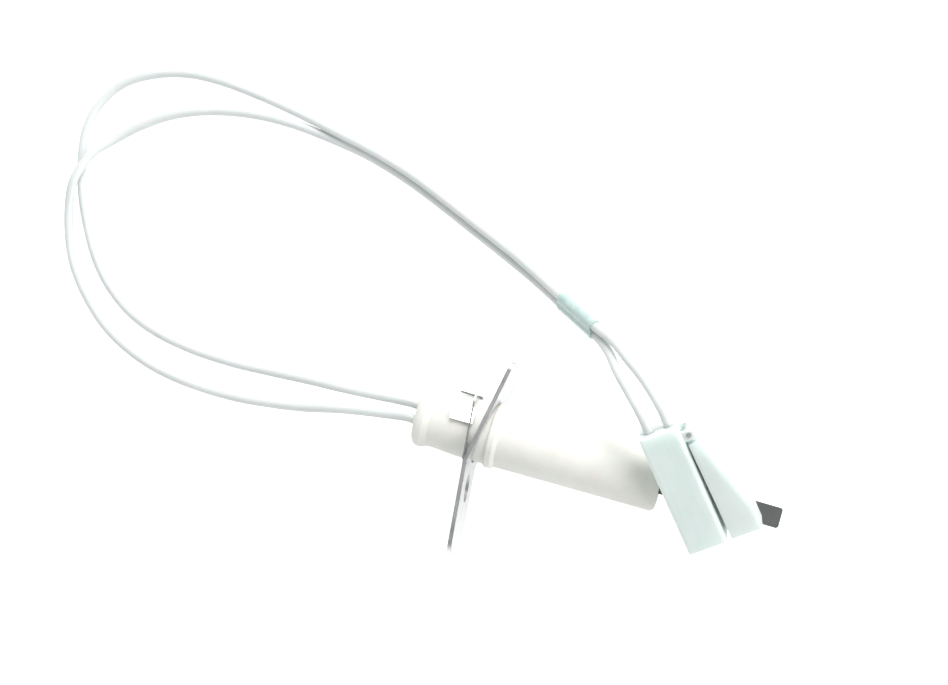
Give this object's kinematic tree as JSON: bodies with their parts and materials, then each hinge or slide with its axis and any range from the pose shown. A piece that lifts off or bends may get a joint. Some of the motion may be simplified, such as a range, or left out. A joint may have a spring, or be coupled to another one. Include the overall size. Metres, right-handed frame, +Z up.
{
  "type": "flame probe",
  "caption": "Hot-surface flame probe: ceramic holder with a flat dark blade, clipped into a bent steel bracket, with long leads that end in a latching nylon plug.",
  "frame": {"origin": "bottom centre of the probe's own box, leads and plug left out; z = 0 is the surface it lies on", "axes": "+X along the probe from the leads to the blade, in plan; +Z up, away from the surface; +Y to the side of the bracket leg that holds the ceramic"},
  "size_m": [0.2055, 0.1033, 0.0282],
  "materials": {
    "steatite": "matt unglazed steatite, warm white",
    "blade": "dark grey silicon nitride, semi-matt",
    "nickel": "nickel strip and plated wire",
    "crimp_brass": "plated brass barrel",
    "cement": "matt refractory cement",
    "bracket_steel": "stainless strip, fine grain along the strip",
    "spring_steel": "thin bright spring steel",
    "lead_cover": "white high-temperature insulation, satin",
    "clear_sleeve": "clear shrink sleeve with a green tint",
    "natural_nylon": "natural nylon, milky with a pale green tint",
    "pin_steel": "drawn steel pin",
    "tinned_brass": "tinned brass contact"
  },
  "bodies": {
    "probe": {"ceramic_holder": "steatite", "heater_blade": "blade", "contact_pad_a": "nickel", "contact_pad_b": "nickel", "contact_tab_a": "nickel", "contact_tab_b": "nickel", "crimp_sleeve_a": "crimp_brass", "crimp_sleeve_b": "crimp_brass", "conductor_a": "nickel", "conductor_b": "nickel", "front_cement": "cement", "rear_cement": "cement", "mounting_bracket": "bracket_steel", "spring_clip": "spring_steel", "lead_a": "lead_cover", "lead_b": "lead_cover", "lead_sleeve": "clear_sleeve", "plug_housing": "natural_nylon", "latch_pin": "pin_steel", "terminal_a": "tinned_brass", "terminal_b": "tinned_brass", "plug_conductor_a": "nickel", "plug_conductor_b": "nickel"},
    "latch": {"plug_latch": "natural_nylon"}
  },
  "joints": [
    {"name": "latch_press", "type": "hinge", "parent": "probe", "child": "latch", "pos_m": [0.02082, 0.01915, 0.02333], "axis": [-0.194, 0.4607, -0.8661], "range_deg": [0, 1.9], "stiffness_Nm_per_rad": 0.05}
  ]
}
